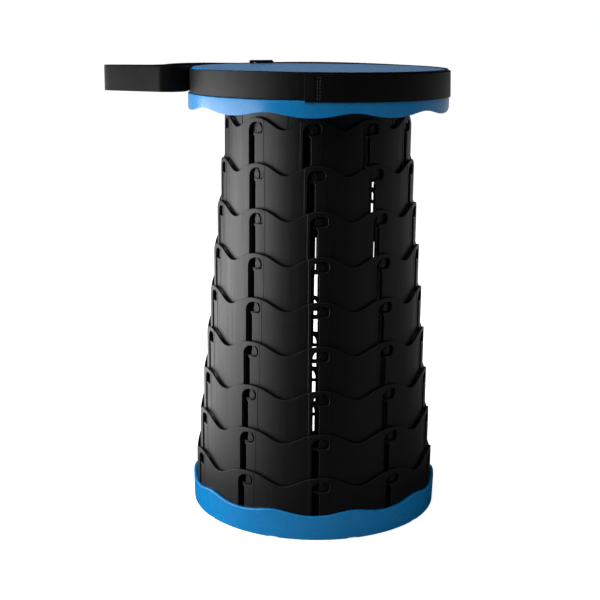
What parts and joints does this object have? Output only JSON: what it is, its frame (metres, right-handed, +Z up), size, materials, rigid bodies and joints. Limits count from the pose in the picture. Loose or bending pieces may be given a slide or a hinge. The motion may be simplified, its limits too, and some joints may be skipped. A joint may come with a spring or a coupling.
{
  "type": "telescopic stool",
  "caption": "Round folding stool of nested wavy rings that lock at full height by J-shaped slots, with a blue seat and base and a webbing carry strap.",
  "frame": {"origin": "middle of the base's flat underside, on the stool's axis", "axes": "+Z up along the stool's axis, +X to the right and -Y to the front as in the picture; the carry loop points to -X"},
  "size_m": [0.3327, 0.2517, 0.4351],
  "materials": {
    "blue_shell": "moulded plastic, satin gloss",
    "black_ring": "moulded plastic, fine matt grain",
    "screw_steel": "plated steel",
    "black_slider": "moulded plastic, satin",
    "black_webbing": "flat woven webbing"
  },
  "bodies": {
    "base": {"base_shell": "blue_shell", "ring_9": "black_ring"},
    "ring_8_body": {"ring_8": "black_ring"},
    "ring_7_body": {"ring_7": "black_ring"},
    "ring_6_body": {"ring_6": "black_ring"},
    "ring_5_body": {"ring_5": "black_ring"},
    "ring_4_body": {"ring_4": "black_ring"},
    "ring_3_body": {"ring_3": "black_ring"},
    "ring_2_body": {"ring_2": "black_ring"},
    "ring_1_body": {"ring_1": "black_ring"},
    "seat": {"seat_ring": "black_ring", "seat_shell": "blue_shell", "seat_screw_1": "screw_steel", "seat_screw_2": "screw_steel", "seat_screw_3": "screw_steel", "seat_screw_4": "screw_steel", "seat_screw_5": "screw_steel", "strap_band": "black_webbing", "strap_overlap": "black_webbing", "strap_loop": "black_webbing", "strap_slider": "black_slider"}
  },
  "joints": [
    {"name": "ring_8_slide", "type": "slide", "parent": "base", "child": "ring_8_body", "axis": [0, 0, 1], "range_m": [-0.0411, 0]},
    {"name": "ring_7_slide", "type": "slide", "parent": "ring_8_body", "child": "ring_7_body", "axis": [0, 0, 1], "range_m": [-0.0411, 0]},
    {"name": "ring_6_slide", "type": "slide", "parent": "ring_7_body", "child": "ring_6_body", "axis": [0, 0, 1], "range_m": [-0.0411, 0]},
    {"name": "ring_5_slide", "type": "slide", "parent": "ring_6_body", "child": "ring_5_body", "axis": [0, 0, 1], "range_m": [-0.0411, 0]},
    {"name": "ring_4_slide", "type": "slide", "parent": "ring_5_body", "child": "ring_4_body", "axis": [0, 0, 1], "range_m": [-0.0411, 0]},
    {"name": "ring_3_slide", "type": "slide", "parent": "ring_4_body", "child": "ring_3_body", "axis": [0, 0, 1], "range_m": [-0.0411, 0]},
    {"name": "ring_2_slide", "type": "slide", "parent": "ring_3_body", "child": "ring_2_body", "axis": [0, 0, 1], "range_m": [-0.0411, 0]},
    {"name": "ring_1_slide", "type": "slide", "parent": "ring_2_body", "child": "ring_1_body", "axis": [0, 0, 1], "range_m": [-0.0411, 0]},
    {"name": "seat_slide", "type": "slide", "parent": "ring_1_body", "child": "seat", "axis": [0, 0, 1], "range_m": [-0.0392, 0]}
  ]
}
